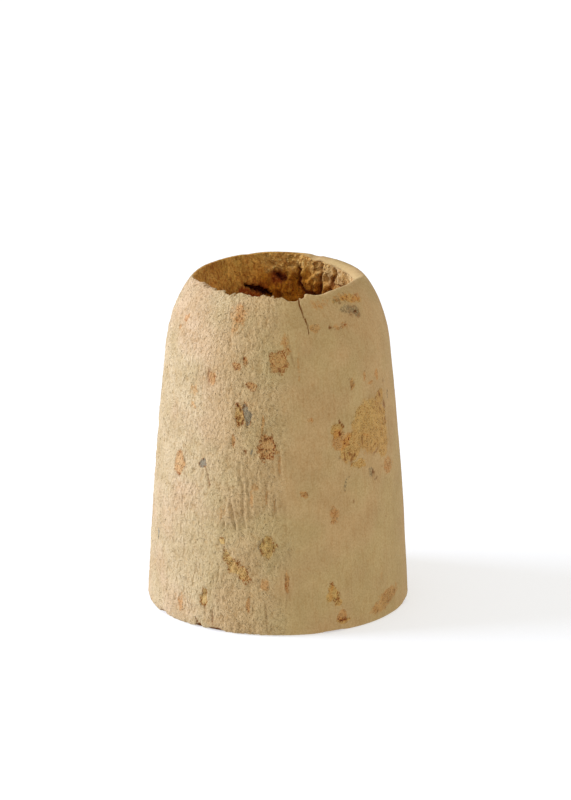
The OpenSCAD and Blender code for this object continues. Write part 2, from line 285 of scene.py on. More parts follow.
# The worm's slot, as the angle and height of each corner of its line and its half width there
SLOT = [
    (207, 52.0, 0.12), (200, 51.3, 0.25), (195.5, 50.9, 0.45), (192, 50.6, 0.55), (189, 50.3, 0.35),
    (185, 49.8, 0.1),
]
SLOT_DEPTH = 2.2
RED_PIT = (180.5, 52.8)                         # angle and height of the rust-red pit's middle
ABOVE_PIT = (182.5, 54.5)                       # the same for a crumbly spot over it

# Rust beside them: angle and height at each end, half a width, and how strong it is from 0 to 1
RUST = [(209.5, 50.9, 195, 49.6, 0.9, 1.0), (197, 52.0, 190, 51.4, 0.8, 0.5)]
# Stretches of the hollow's wall: the angles where each begins, is full, starts to end and ends
GOUGED, CRUMBLY = (108, 118, 180, 190), (132, 146, 184, 196)
# The fresh stretch is the broken side on the key lamp's side of the hollow: partly its own paler colour,
# partly painted light.
SPLIT, FRESH_AND_LIT = (84, 100, 184, 196), (60, 80, 138, 160)

ROUGH_FROM, ROUGH_TO = -104, 8                  # the weathered strip of the outside, in degrees
PALE_AND_LIT = (-8, -58)                                # where on it the paler stretch begins, and is palest: partly the strip's own colour, partly painted light towards the key lamp


def scattered(count, seed, tall):
    """Patches for the side that the front's lists leave bare, in the same form."""
    draw = random.Random(seed)
    return [
        (
            draw.uniform(88, 252), draw.uniform(2, 54), draw.uniform(0.8, 2.6), draw.uniform(0.8, tall),
            draw.uniform(-25, 25), draw.uniform(0.02, 0.2),
        )
        for _ in range(count)
    ]


# ---- The fine grid

def turn(angle, middle):
    """The signed angle from middle to angle, in radians. The middle is in degrees."""
    return (angle - math.radians(middle) + math.pi) % (2 * math.pi) - math.pi


def rim_top(angle):
    """Height of the rim round the mouth, with its notches and its crumbled front."""
    ring = np.stack([14 * np.sin(angle), -14 * np.cos(angle), 0 * angle], -1)
    degrees = np.degrees(angle)
    front = ramp(degrees, -80, -50) * ramp(degrees, 26, 20)
    behind = ramp(-np.cos(angle), -0.35, 0.25)
    drop = SIDE_DROP * behind * np.sin(angle) ** 2 + BACK_DROP * np.clip(-np.cos(angle), 0, 1)
    drop += LEFT_DROP * (1 - behind) * np.clip(-np.sin(angle), 0, 1) ** 2 + 0.06 * noise(ring, 5, 1)
    drop += (0.03 + 0.13 * front) * (np.abs(noise(ring, 1.1, 2)) + 0.6 * noise(ring, 0.55, 3))
    for middle, half, depth in RIM_NOTCHES:
        away = np.abs(turn(angle, middle)) / math.radians(half)
        drop += depth * ramp(away, 1.25, 0.35)
    return HEIGHT - np.clip(drop, 0, None)


def column_angles():
    """The columns' angles, closer together over the stretch with the finest relief."""
    fine = np.linspace(-math.pi, math.pi, 3601)
    degrees = np.degrees(fine)
    inside = ramp(degrees, DENSE_FROM - 10, DENSE_FROM) * ramp(degrees, DENSE_TO + 10, DENSE_TO)
    share = np.concatenate([[0], np.cumsum((1 + (DENSITY - 1) * inside)[:-1])])
    return np.interp(np.linspace(0, share[-1], COLUMNS, endpoint=False), share, fine)


class Grid:
    """Rows of the profile times columns round the axis. is_inside, is_lip and is_outside say which stretch a
    point is in.
    """

    def __init__(self):
        self.angle = column_angles()
        full = ramp(np.sin(self.angle), 0.25, 0.85)
        self.lip_depth = LIP_DEPTH[0] + (LIP_DEPTH[1] - LIP_DEPTH[0]) * full
        top = rim_top(self.angle)
        rows = [*self.underside(), *self.outside(top)]
        self.lip_row = len(rows) - 1
        rows += self.lip(top)
        self.hollow_row = len(rows) - 1
        rows += self.inside(top)
        self.r = np.array([r for r, z in rows])
        self.z = np.array([z for r, z in rows])
        self.a = np.broadcast_to(self.angle, self.r.shape)
        count = np.arange(len(rows))[:, None] + 0 * self.a
        self.is_inside = count > self.hollow_row
        self.is_lip = (count >= self.lip_row) & (count <= self.hollow_row)
        self.is_outside = ~self.is_inside
        self.s = np.interp(self.z, PROFILE_Z, PROFILE_S)
        self.top = np.broadcast_to(top, self.r.shape)
        p = self.points()
        self.wander = [noise(p, 1.5, 60 + k) + 0.55 * noise(p, 0.7, 62 + k) for k in range(2)]

    def ring(self, r, z):
        return r + 0 * self.angle, z + 0 * self.angle

    def underside(self):
        """The base's outer band and its rounded edge."""
        rim = BASE_R - BASE_EDGE_R
        flat = [self.ring(rim - inwards, 0) for inwards in BASE_ROWS]
        turns = np.linspace(0, math.pi / 2, 4)
        return flat + [
            self.ring(rim + BASE_EDGE_R * math.sin(t), BASE_EDGE_R * (1 - math.cos(t))) for t in turns
        ]

    def outside(self, top):
        """The side and the shoulder, with rows evenly spaced along the profile."""
        first = np.interp(BASE_EDGE_R, PROFILE_Z, PROFILE_S) + ROW
        steps = np.arange(first, PROFILE_S[-1] - 0.1, ROW)
        heights = np.append(np.interp(steps, PROFILE_S, PROFILE_Z), HEIGHT)
        foot = HEIGHT - SHOULDER_DROP
        rows = []
        for z in heights:
            share = max(0.0, (z - foot) / SHOULDER_DROP)
            level = z + (top - HEIGHT) * share ** 3
            rows.append((body_r(level), level))
        return rows

    def mouth_r(self, top):
        """Radius of the hollow's edge: off centre, and eaten away where the rim is notched."""
        round_mouth = MOUTH_R - MOUTH_SHIFT * np.sin(self.angle)
        degrees = np.degrees(self.angle)
        thin = np.clip(ramp(degrees, 25, 15) + ramp(degrees, 150, 170), 0, 1)
        sharp = body_r(top) - 0.35
        eaten = np.maximum(round_mouth, sharp)
        return np.where(top < HEIGHT - 0.2, round_mouth + (eaten - round_mouth) * thin, round_mouth)

    def lip(self, top):
        """From the shoulder's end, over the rim and down to the hollow's wall."""
        outer, inner = body_r(top), self.mouth_r(top)
        return [
            (outer - (outer - inner) * math.sin(t), top - self.lip_depth * (1 - math.cos(t)))
            for t in np.linspace(0, math.pi / 2, LIP_ROWS + 1)[1:]
        ]

    def inside(self, top):
        """The part of the hollow's wall that shows."""
        start, end = top - self.lip_depth, BORE_TOP - INNER_BELOW
        edge = self.mouth_r(top)
        rows = []
        for t in np.linspace(0, 1, INNER_ROWS + 1)[1:] ** 1.3:
            z = start + (end - start) * t
            flare = ramp(z, start - 5, start)
            rows.append((bore_r(z) + (edge - bore_r(start)) * flare, z))
        return rows

    def points(self, r=None, z=None):
        r, z = (self.r if r is None else r), (self.z if z is None else z)
        return np.stack([r * np.sin(self.a), -r * np.cos(self.a), z], -1)

    def across(self, middle, height):
        """Distance in mm along the surface from a place, sideways and upwards."""
        return turn(self.a, middle) * self.r, self.s - np.interp(height, PROFILE_Z, PROFILE_S)

    def patch(self, middle, height, wide, tall, tilt):
        """How far out each point is from the middle of an oval patch, 1 being its edge."""
        x, y = self.across(middle, height)
        loose = min(0.55, 0.3 * min(wide, tall))
        x, y = x + loose * self.wander[0], y + loose * self.wander[1]
        c, s = math.cos(math.radians(tilt)), math.sin(math.radians(tilt))
        return np.hypot((x * c - y * s) / (wide / 2), (x * s + y * c) / (tall / 2))

    def stroke(self, a0, z0, a1, z1, width):
        """1 along a short line, falling to 0 at its width."""
        x, y = self.across(a0, z0)
        x, y = x + 0.16 * self.wander[0], y + 0.16 * self.wander[1]
        dx = math.radians(a1 - a0) * float(body_r(np.float64((z0 + z1) / 2)))
        dy = float(np.interp(z1, PROFILE_Z, PROFILE_S) - np.interp(z0, PROFILE_Z, PROFILE_S))
        along = np.clip((x * dx + y * dy) / (dx * dx + dy * dy + 1e-9), 0, 1)
        return ramp(np.hypot(x - along * dx, y - along * dy), width, width * 0.25)

    def inner_line(self, a0, z0, a1, z1, half):
        """1 inside a slot in the hollow's wall, with crisp edges."""
        x, y = turn(self.a, a0) * self.r, self.z - z0
        dx, dy = math.radians(a1 - a0) * BORE_R, z1 - z0
        along = np.clip((x * dx + y * dy) / (dx * dx + dy * dy), 0, 1)
        return ramp(np.hypot(x - along * dx, y - along * dy), half * 1.25, half * 0.7)


def weathering(grid, p):
    """1 on the weathered strip and 0 on the cut face, with wandering edges."""
    around = turn(grid.a, 0)
    far = math.radians(ROUGH_FROM) + 0.14 * noise(p, (5, 5, 9), 27) + 0.06 * noise(p, (1.4, 1.4, 3), 28)
    near = math.radians(ROUGH_TO) + 0.10 * noise(p, (4, 4, 8), 11) + 0.04 * noise(p, (1.2, 1.2, 3), 10)
    return ramp(around, far - 0.16, far + 0.16) * ramp(around, near + 0.08, near - 0.26)


def add_texture(grid, p, rough, marks):
    """The cork's own texture: stipple and dimples on the weathered strip, and grain on the cut face, with
    painted shade in the dimples.
    """
    warp = np.stack([noise(p, 1.6, 40 + k) for k in range(3)], -1)
    q = p + 0.35 * warp
    weather = np.clip(0.8 + 0.5 * noise(p, (6, 6, 9), 12), 0.35, 1.3)
    stipple = 0.85 * noise(q, (0.58, 0.58, 0.95), 13) + 0.5 * noise(q, (0.36, 0.36, 0.8), 14)
    stipple += 0.45 * (0.35 - np.abs(noise(q, (1.2, 1.2, 2.0), 15))) + 0.5 * noise(q, (1.5, 1.5, 2.4), 25)
    dimples = ramp(noise(q, (0.75, 0.75, 1.4), 26), -0.24, -0.50)
    grain = noise(p, 0.5, 17)
    fibres = noise(p, (0.4, 0.4, 3.2), 16)
    streaks = ramp(np.abs(np.degrees(turn(grid.a, 3))), 7, 3)

    relief = rough * weather * (0.14 * stipple - 0.12 * dimples)
    relief += (1 - rough) * (0.010 * fibres + 0.012 * grain)
    relief += 0.07 * noise(p, 9, 18) + (0.025 + 0.045 * rough) * noise(p, (2.6, 2.6, 4.0), 19)
    relief += 0.018 * streaks * noise(q, (0.55, 0.55, 3.0), 20)
    # Painted shade in the dimples.
    marks["dark"] = 0.16 * dimples * rough
    # relief: how high the surface stands; the material darkens its low places as painted shade.
    marks["relief"] = np.clip(0.5 + 0.5 * stipple * rough + 0.12 * grain, 0, 1)
    return relief, grain


def add_patches(grid, p, rough, grain, marks):
    """The stained patches: each is a shallow recess, with an outline where it is deep enough."""
    relief, outline = np.zeros_like(grain), np.zeros_like(grain)
    for name, patches in marks.pop("patches").items():
        field = np.zeros_like(grain)
        for middle, height, wide, tall, tilt, recess in patches:
            far = grid.patch(middle, height, wide, tall, tilt)
            strength = 0.5 + 0.5 * ramp(recess, 0.02, 0.05)
            field = np.maximum(field, strength * ramp(far, 1.3, 0.7))
            relief -= recess * ramp(far, 1.15, 0.8) * (1 + 0.5 * grain)
            ring = ramp(np.abs(far - 0.95), 0.42, 0.12)
            outline = np.maximum(outline, ring * ramp(recess, 0.02, 0.09))
        marks[name] = field * grid.is_outside
    marks["outline"] = outline * grid.is_outside
    granular = ramp(marks["ochre"], 0.3, 0.6)
    return relief + granular * (0.03 + 0.06 * rough) * noise(p, 0.42, 22)


def add_cuts(grid, p, marks):
    """The strokes, the furrows with the ridge beside each, and the chips at the base's edge."""
    relief, dark = np.zeros_like(grid.r), marks["dark"]
    for a0, z0, a1, z1, width, depth, shade in STROKES:
        here = grid.stroke(a0, z0, a1, z1, width)
        relief -= 0.7 * depth * here
        dark = np.maximum(dark, shade * here)
    for a0, z0, a1, z1, depth in FURROWS:
        here = grid.stroke(a0, z0, a1, z1, 0.36 + 0.16 * noise(p, (2, 2, 3), 21))
        beside = grid.stroke(a0 + 1.4, z0, a1 + 1.4, z1, 0.34)
        relief += depth * (0.9 * beside * (1 - here) - 1.1 * here)
        # Painted shade along the furrow's groove.
        dark = np.maximum(dark, 0.17 * here)
    for middle, half, tall, depth in BASE_CHIPS:
        away = np.abs(turn(grid.a, middle) * grid.r) / half + 0.25 * noise(p, 0.6, 23)
        chip = ramp(away, 1.3, 0.6) * ramp(grid.z / tall, 1.6, 0.5)
        relief -= depth * chip
        # Painted shade in the chip.
        dark = np.maximum(dark, chip)
    marks["dark"] = dark * grid.is_outside
    return relief


def outer_relief(grid, marks):
    """Height of the outside's surface above its profile. Fills in marks: the attributes of the stains, of the
    painted light on the weathered strip, and of the painted shade in low places.
    """
    p = grid.points()
    rough = weathering(grid, p)
    relief, grain = add_texture(grid, p, rough, marks)
    relief += add_patches(grid, p, rough, grain, marks)
    relief += add_cuts(grid, p, marks)
    crumble = ramp(grid.top - grid.z, 1.2, 0) * ramp(grid.z, HEIGHT - 4, HEIGHT - 1)
    relief += crumble * (0.03 + 0.09 * rough) * noise(p, 0.8, 24)
    marks["rough"] = rough * grid.is_outside
    # The paler stretch towards the key lamp: partly the weathered strip's own colour, partly painted light.
    marks["pale_and_lit"] = marks["rough"] * ramp(np.degrees(turn(grid.a, 0)), *PALE_AND_LIT)
    return np.clip(relief, None, SKIN)


def within(turned, stretch):
    """1 over the middle of a stretch of the hollow's wall, and 0 outside it."""
    begins, full, ending, ends = stretch
    return ramp(turned, begins, full) * ramp(turned, ends, ending)


def add_slot_and_pit(grid, p, marks):
    """How deep the worm's slot and the rust-red pit go, and where the slot is. Marks the rust round them."""
    frayed = 1 + 0.45 * noise(p, 0.6, 37)
    slot = np.zeros_like(frayed)
    for (a0, z0, h0), (a1, z1, h1) in zip(SLOT, SLOT[1:]):
        slot = np.maximum(slot, grid.inner_line(a0, z0, a1, z1, (h0 + h1) / 2 * frayed))
    pit_x, pit_y = turn(grid.a, RED_PIT[0]) * grid.r, grid.z - RED_PIT[1]
    pit = ramp(np.hypot(pit_x / 1.3, pit_y / 1.2) + 0.6 * noise(p, 0.6, 38), 1.3, 0.5)
    rust = pit
    for a0, z0, a1, z1, half, strength in RUST:
        rust = np.maximum(rust, strength * grid.inner_line(a0, z0, a1, z1, half * frayed))
    marks["rust"] = grid.is_inside * rust
    return SLOT_DEPTH * slot + 0.35 * pit, slot


def colour_hollow(grid, turned, depth_down, ragged, marks):
    """Where the hollow, its wall darkened with depth as painted shade, and its fresh broken side are, with
    the lip that goes with each. The fresh side is partly its own paler colour and partly painted light where
    the key lamp reaches it.
    """
    shown, sideways = grid.is_inside, np.sin(grid.a)
    west = ramp(turned, 188, 206)
    # Fresh side: partly its own paler colour, partly painted light where the key lamp reaches it, strongest
    # near the top.
    fresh_and_lit = within(turned, FRESH_AND_LIT) * (0.2 + 0.8 * ramp(depth_down, 6, 2.5))
    outer, inner = body_r(grid.top), grid.mouth_r(grid.top)
    across = (outer - grid.r) / np.maximum(outer - inner, 0.1)
    sharp = ramp(sideways, 0.5, 0.1) * ramp(-np.cos(grid.a), -0.2, 0.3)
    full = ramp(sideways, 0.3, 0.7) * ramp(across + 0.3 * ragged, 0.1, 0.8)
    marks["hollow"] = shown * ramp(depth_down, 0.0, 0.5) + grid.is_lip * sharp * ramp(across, 0.25, 0.7)
    # wall: painted shade that darkens the hollow with depth, with less of it on the fresh side and from the
    # back round to the left.
    marks["wall"] = shown * ramp(depth_down, 0.5, 5) * (1 - 0.68 * west) * (1 - fresh_and_lit)
    marks["fresh_and_lit"] = shown * fresh_and_lit + grid.is_lip * 0.35 * full


def inner_relief(grid, marks):
    """How far the hollow's wall is cut back from its profile: the gouges, the lumps, the slot and the pit."""
    p = grid.points()
    depth_down = grid.top - grid.z
    turned = np.degrees(grid.a) % 360
    ragged = noise(p, 0.8, 32)
    sideways, upwards = (0.45 * noise(p, 1.6, 30 + k) + 0.30 * noise(p, 0.7, 42 + k) for k in range(2))
    reach = ramp(depth_down, 0.4, 1.9) * ramp(grid.z, BORE_TOP - 2, BORE_TOP + 2)
    crumbly = within(turned, CRUMBLY) * ramp(depth_down + 0.8 * ragged, 3.2, 1.6)
    above_pit = np.hypot(turn(grid.a, ABOVE_PIT[0]) * grid.r / 1.6, (grid.z - ABOVE_PIT[1]) / 0.8)
    crumbly = np.maximum(crumbly, ramp(above_pit + 0.4 * ragged, 1.2, 0.7))
    gouged = within(turned, GOUGED) * reach * (1 - 0.75 * crumbly)

    bulge, clefts = np.zeros_like(ragged), np.zeros_like(ragged)
    for middle, height, half, tall, lean, proud in LUMPS:
        y = grid.z - height + upwards
        x = turn(grid.a, middle) * grid.r + sideways - lean * y
        far = np.hypot(x / half, y / tall) + 0.22 * ragged
        bulge = np.maximum(bulge, proud * ramp(far, 1.25, 0.45) * (0.85 + 0.3 * x / half))
    for a0, z0, a1, z1, half, depth in CLEFTS:
        clefts = np.maximum(clefts, depth * grid.inner_line(a0, z0, a1, z1, half * (1 + 0.4 * ragged)))
    creases = 0.3 - np.abs(noise(p, (1.0, 1.0, 2.2), 39))
    torn = 0.50 * noise(p, (1.3, 1.3, 2.4), 44) + 0.35 * ragged + 0.22 * noise(p, 0.5, 33)
    splits = ramp(np.abs(noise(p, (1.1, 1.1, 4.0), 45)), 0.12, 0.02) * within(turned, SPLIT) * reach
    bored, slot = add_slot_and_pit(grid, p, marks)

    cut = gouged * (0.60 * (0.85 - bulge) + 0.7 * torn + 0.5 * creases)
    cut += 0.55 * clefts + 0.30 * splits + bored
    cut += 0.35 * crumbly * ramp(depth_down, 0, 0.5) * noise(p, 0.8, 34)
    cut += 0.06 * noise(p, (0.6, 0.6, 3.0), 35) + 0.05 * noise(p, 0.5, 36)

    shown = grid.is_inside
    # The dark of the clefts, splits and slot is painted shade in them.
    holes = np.maximum(ramp(clefts, 0.2, 1.6), 0.25 * splits)
    marks["dark"] = np.where(shown, np.maximum(slot, holes), marks["dark"])
    # relief in the hollow: how far the wall stands proud; the material darkens its low places as painted
    # shade.
    marks["relief"] = np.where(shown, np.clip(0.75 - 0.6 * cut, 0, 1), marks["relief"])
    marks["crumbly"] = crumbly * shown
    colour_hollow(grid, turned, depth_down, ragged, marks)
    return cut


def shaped_grid():
    """The fine grid with its relief, as points, and the attributes that go with them."""
    grid = Grid()
    marks = {
        "patches": {
            "pink": PINK_PATCHES + scattered(26, 5, 3.5),
            "ochre": OCHRE_PATCHES + scattered(9, 6, 5.0),
            "grey": GREY_SPOTS + scattered(9, 7, 2.4),
        }
    }
    outer = outer_relief(grid, marks)
    inner = inner_relief(grid, marks)
    slope_r, slope_z = np.gradient(grid.r, axis=0), np.gradient(grid.z, axis=0)
    length = np.hypot(slope_r, slope_z) + 1e-9
    out_r, out_z = slope_z / length, -slope_r / length
    push = np.where(grid.is_inside, -inner, outer)
    push = np.where(grid.is_lip, outer * 0.8, push)
    r, z = grid.r + push * out_r, grid.z + push * out_z
    z = np.where(np.arange(len(z))[:, None] < len(BASE_ROWS), 0.0, np.clip(z, 0, HEIGHT))
    return grid, grid.points(r, z), marks


# ---- The mesh

def coarse_rings():
    """(radius, height) of the plain rings: the lower hollow down to its floor, and the base inwards."""
    wall_top, wall_foot = BORE_TOP - INNER_BELOW - COARSE_GAP, FLOOR_Z + FLOOR_FILLET
    wall = [(BORE_R, z) for z in np.linspace(wall_top, wall_foot, WALL_ROWS)]
    fillet = [
        (BORE_R - FLOOR_FILLET * (1 - math.cos(t)), FLOOR_Z + FLOOR_FILLET * (1 - math.sin(t)))
        for t in np.linspace(0, math.pi / 2, 6)[1:]
    ]
    floor = [(r, FLOOR_Z) for r in np.linspace(BORE_R - FLOOR_FILLET, 0, 8)[1:-1]]
    outermost = BASE_R - BASE_EDGE_R - BASE_ROWS[0] - COARSE_GAP
    base = [(r, 0.0) for r in np.linspace(outermost, 0, 16)[:-1]]
    return wall + fillet + floor, base


def ring_points(rings, seed):
    """The plain rings' points, how uneven each is, and which way is outwards from the axis."""
    angle = column_angles()[::COARSE]
    r, z = (np.array([ring[k] for ring in rings])[:, None] + 0 * angle for k in (0, 1))
    p = np.stack([r * np.sin(angle), -r * np.cos(angle), z], -1)
    uneven = 0.10 * noise(p, (3, 3, 6), seed) + 0.05 * noise(p, 1.3, seed + 1)
    return p, uneven[..., None], np.stack([np.sin(angle), -np.cos(angle), 0 * angle], -1)


class Mesh:
    """Collects vertices with their attributes, and faces with their place in the baked maps."""

    def __init__(self, names):
        self.points, self.faces, self.uvs = [], [], []
        self.marks = {name: [] for name in names}
        self.count = 0

    def add(self, points, marks):
        """Adds rows of points and returns their numbers, in the same rows."""
        numbers = np.arange(self.count, self.count + points[..., 0].size).reshape(points.shape[:-1])
        self.points.append(points.reshape(-1, 3))
        for name, values in self.marks.items():
            values.append(np.broadcast_to(marks.get(name, 0.0), numbers.shape).reshape(-1))
        self.count += numbers.size
        return numbers

    def all_points(self):
        return np.concatenate(self.points)

    def face(self, corners, place, column):
        """place gives a vertex's spot in the maps, from its number and the face's column."""
        self.faces.append(corners)
        self.uvs += [place(vertex, column) for vertex in corners]

    def band(self, rows, u, v):
        """Quads between neighbouring rows. u holds one more value than there are columns, v one per row."""
        for j in range(len(rows) - 1):
            below, above = rows[j], rows[j + 1]
            for i in range(len(below)):
                k = (i + 1) % len(below)
                self.faces.append((below[i], below[k], above[k], above[i]))
                self.uvs += [(u[i], v[j]), (u[i + 1], v[j]), (u[i + 1], v[j + 1]), (u[i], v[j + 1])]

    def ring_pair(self, below, above, place):
        """Quads between two rings."""
        for i in range(len(below)):
            k = (i + 1) % len(below)
            self.face((below[i], below[k], above[k], above[i]), place, i)

    def joint(self, fine, coarse, place, flip):
        """Triangles between a fine ring and a coarse one."""
        half = COARSE // 2
        for c in range(len(coarse)):
            c1 = (c + 1) % len(coarse)
            f = [fine[(c * COARSE + k) % len(fine)] for k in range(COARSE + 1)]
            triangles = [(f[k], f[k + 1], coarse[c]) for k in range(half)]
            triangles += [(f[half], coarse[c1], coarse[c])]
            triangles += [(f[k], f[k + 1], coarse[c1]) for k in range(half, COARSE)]
            for corners in triangles:
                self.face(corners[::-1] if flip else corners, place, c)

    def fan(self, ring, middle, place, flip):
        """Triangles from a ring to the point in its middle."""
        for i in range(len(ring)):
            corners = (ring[i], ring[(i + 1) % len(ring)], middle)
            self.face(corners[::-1] if flip else corners, place, i)

    def finish(self, name):
        """The object, with its map and its attributes."""
        data = bpy.data.meshes.new(name)
        data.from_pydata((self.all_points() * MM).tolist(), [], self.faces)
        data.uv_layers.new(name="OFBake").data.foreach_set("uv", np.array(self.uvs, np.float32).ravel())
        for mark, values in self.marks.items():
            attribute = data.attributes.new(mark, "FLOAT", "POINT")
            attribute.data.foreach_set("value", np.concatenate(values).astype(np.float32))
        data.polygons.foreach_set("use_smooth", [True] * len(data.polygons))
        piece = bpy.data.objects.new(name, data)
        bpy.context.scene.collection.objects.link(piece)
        return piece


def on_disc(points, disc, real_radius):
    """Maps a vertex of a flat disc to a disc in the baked maps."""
    centre, radius = disc

    def place(vertex, _):
        x, y = points[vertex][:2]
        return centre[0] + radius * x / real_radius, centre[1] + radius * y / real_radius

    return place


def on_low_wall(points, u, top, foot):
    """Maps a vertex of the lower wall to its strip in the baked maps. u holds the edges of the columns."""
    columns = COLUMNS // COARSE
    middles = np.interp(np.arange(columns) + 0.5, np.arange(columns + 1), u[::COARSE])
    (left, right), (start, end) = LOW_WALL_U, LOW_WALL_V

    def place(vertex, column):
        x, y, z = points[vertex]
        share = (math.atan2(x, -y) + math.pi) / (2 * math.pi)
        share += round(middles[column] - share)
        return left + (right - left) * share, start + (end - start) * (top - z) / (top - foot)

    return place


def build_cork():
    """The stopper as one closed mesh, with its attributes and its map."""
    grid, fine, marks = shaped_grid()
    mesh = Mesh(marks)
    # The lower hollow gets the wall's painted shade in full.
    bored = {"hollow": 1.0, "wall": 1.0, "relief": 0.7}
    plain = {"relief": 0.6}

    skin = mesh.add(fine, marks)
    wall, base = coarse_rings()
    points, uneven, out = ring_points(wall, 50)
    inner = mesh.add(points + uneven * out, bored)
    points, uneven, _ = ring_points(base, 52)
    under = mesh.add(points + 0.5 * np.abs(uneven) * (0, 0, 1), plain)
    floor_middle = mesh.add(np.array([[0.0, 0.0, FLOOR_Z]]), bored)[0]
    base_middle = mesh.add(np.array([[0.0, 0.0, 0.0]]), plain)[0]
    points = mesh.all_points()

    first = len(BASE_ROWS)
    u = np.append((grid.angle + math.pi) / (2 * math.pi), 1)
    run = np.concatenate([[0], np.cumsum(np.hypot(*np.diff([grid.r[:, 0], grid.z[:, 0]], axis=1)))])
    skin_v = np.interp(run, run[[first, grid.hollow_row]], SKIN_V)
    shown_v = np.interp(run, run[[grid.hollow_row, -1]], SHOWN_WALL_V)
    mesh.band(skin[first:grid.hollow_row + 1], u, skin_v[first:])
    mesh.band(skin[grid.hollow_row:], u, shown_v[grid.hollow_row:])

    base_place = on_disc(points, BASE_DISC, BASE_R)
    for row in range(first):
        mesh.ring_pair(skin[row], skin[row + 1], base_place)
    mesh.joint(skin[0], under[0], base_place, flip=True)
    for row in range(len(under) - 1):
        mesh.ring_pair(under[row + 1], under[row], base_place)
    mesh.fan(under[-1], base_middle, base_place, flip=True)

    just_above = BORE_TOP - INNER_BELOW + 0.1
    wall_place = on_low_wall(points, u, just_above, wall[WALL_ROWS - 1][1])
    floor_place = on_disc(points, FLOOR_DISC, BORE_R + 0.3)
    mesh.joint(skin[-1], inner[0], wall_place, flip=False)
    for row in range(len(inner) - 1):
        mesh.ring_pair(inner[row], inner[row + 1], wall_place if row < WALL_ROWS - 1 else floor_place)
    mesh.fan(inner[-1], floor_middle, floor_place, flip=False)
    return mesh.finish("cork_body")


# ---- The material

class Nodes:
    """Short calls for a material's nodes."""

    def __init__(self, name):
        self.material = bpy.data.materials.new(name)
        self.material.use_nodes = True
        self.tree = self.material.node_tree
        self.shader = self.tree.nodes["Principled BSDF"]
        self.place = self.new("ShaderNodeTexCoord").outputs["Object"]

    def new(self, kind, **settings):
        made = self.tree.nodes.new(kind)
        for name, value in settings.items():
            setattr(made, name, value)
        return made

    def join(self, source, socket):
        """Links a socket, or the attribute of that name, or sets a plain number or colour."""
        if isinstance(source, str):
            source = self.new("ShaderNodeAttribute", attribute_name=source).outputs["Fac"]
        if isinstance(source, bpy.types.NodeSocket):
            self.tree.links.new(source, socket)
        else:
            socket.default_value = source

    def noise(self, size, detail, stretch=(1, 1, 1), rough=0.55):
        """Noise with humps about `size` mm apart, drawn out along an axis by a stretch over 1."""
        mapping = self.new("ShaderNodeMapping")
        mapping.inputs["Scale"].default_value = [1 / s for s in stretch]
        self.join(self.place, mapping.inputs["Vector"])
        made = self.new("ShaderNodeTexNoise")
        made.inputs["Scale"].default_value = 1 / (size * MM)
        made.inputs["Detail"].default_value = detail
        made.inputs["Roughness"].default_value = rough
        self.join(mapping.outputs["Vector"], made.inputs["Vector"])
        return made.outputs["Fac"]

    def grains(self, size):
        """How far each spot is from the middle of its grain, 0 to about 0.8. Grains are `size` mm apart."""
        made = self.new("ShaderNodeTexVoronoi")
        made.inputs["Scale"].default_value = 1 / (size * MM)
        self.join(self.place, made.inputs["Vector"])
        return made.outputs["Distance"]

    def maths(self, what, first, *others):
        """Multiplies, adds or otherwise joins several values, one after the other."""
        for other in others:
            made = self.new("ShaderNodeMath", operation=what)
            self.join(first, made.inputs[0])
            self.join(other, made.inputs[1])
            first = made.outputs[0]
        return first

    def times(self, *values):
        return self.maths("MULTIPLY", *values)

    def span(self, value, start, end, low=0.0, high=1.0):
        """A smooth rise from low at start to high at end."""
        made = self.new("ShaderNodeMapRange", interpolation_type="SMOOTHSTEP")
        for name, number in (("From Min", start), ("From Max", end), ("To Min", low), ("To Max", high)):
            made.inputs[name].default_value = number
        self.join(value, made.inputs["Value"])
        return made.outputs["Result"]

    def blend(self, share, a, b, how="MIX"):
        made = self.new("ShaderNodeMix", data_type="RGBA", blend_type=how)
        self.join(share, made.inputs["Factor"])
        for socket, colour in ((made.inputs[6], a), (made.inputs[7], b)):
            self.join((*colour, 1) if isinstance(colour, tuple) else colour, socket)
        return made.outputs[2]

    def tinted(self, colour, *layers):
        """The colour with tints multiplied in. A layer is where it goes, how strong it is, and its tint."""
        for share, strength, tint in layers:
            colour = self.blend(self.times(share, strength), colour, tint, "MULTIPLY")
        return colour

    def bump(self, height, strength, distance):
        """A bump node as deep as distance, in millimetres."""
        made = self.new("ShaderNodeBump")
        made.inputs["Strength"].default_value = strength
        made.inputs["Distance"].default_value = distance * MM
        self.join(height, made.inputs["Height"])
        return made


